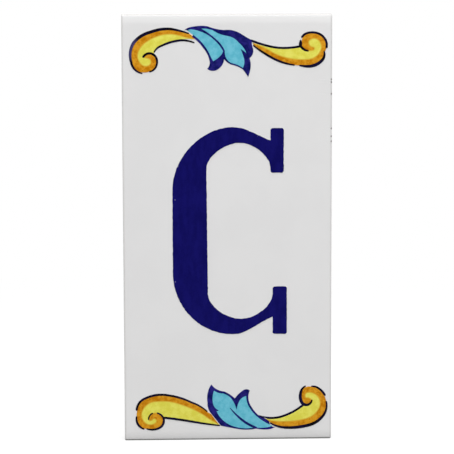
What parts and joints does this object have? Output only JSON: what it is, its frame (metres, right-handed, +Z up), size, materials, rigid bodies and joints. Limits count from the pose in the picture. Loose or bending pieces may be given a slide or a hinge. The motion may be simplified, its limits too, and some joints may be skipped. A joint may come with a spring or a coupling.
{
  "type": "ceramic letter tile",
  "caption": "Glazed white wall tile with a painted blue capital letter between two bands of leaf and scroll ornament.",
  "frame": {"origin": "middle of the tile's back face, where it meets the wall", "axes": "+Z up as on the wall, +Y into the wall, the painted face looks along -Y, +X to the right of someone who reads it"},
  "size_m": [0.073, 0.0071, 0.15],
  "materials": {
    "white_glaze": "gloss",
    "letter_blue": "gloss",
    "orange_enamel": "gloss",
    "yellow_enamel": "gloss",
    "outline_enamel": "gloss",
    "turquoise_enamel": "gloss",
    "leaf_blue_enamel": "gloss"
  },
  "bodies": {
    "root": {"tile": "white_glaze", "letter": "letter_blue", "scroll_orange": "orange_enamel", "scroll_yellow": "yellow_enamel", "scroll_outline": "outline_enamel", "leaf_turquoise": "turquoise_enamel", "leaf_blue": "leaf_blue_enamel"}
  },
  "joints": []
}
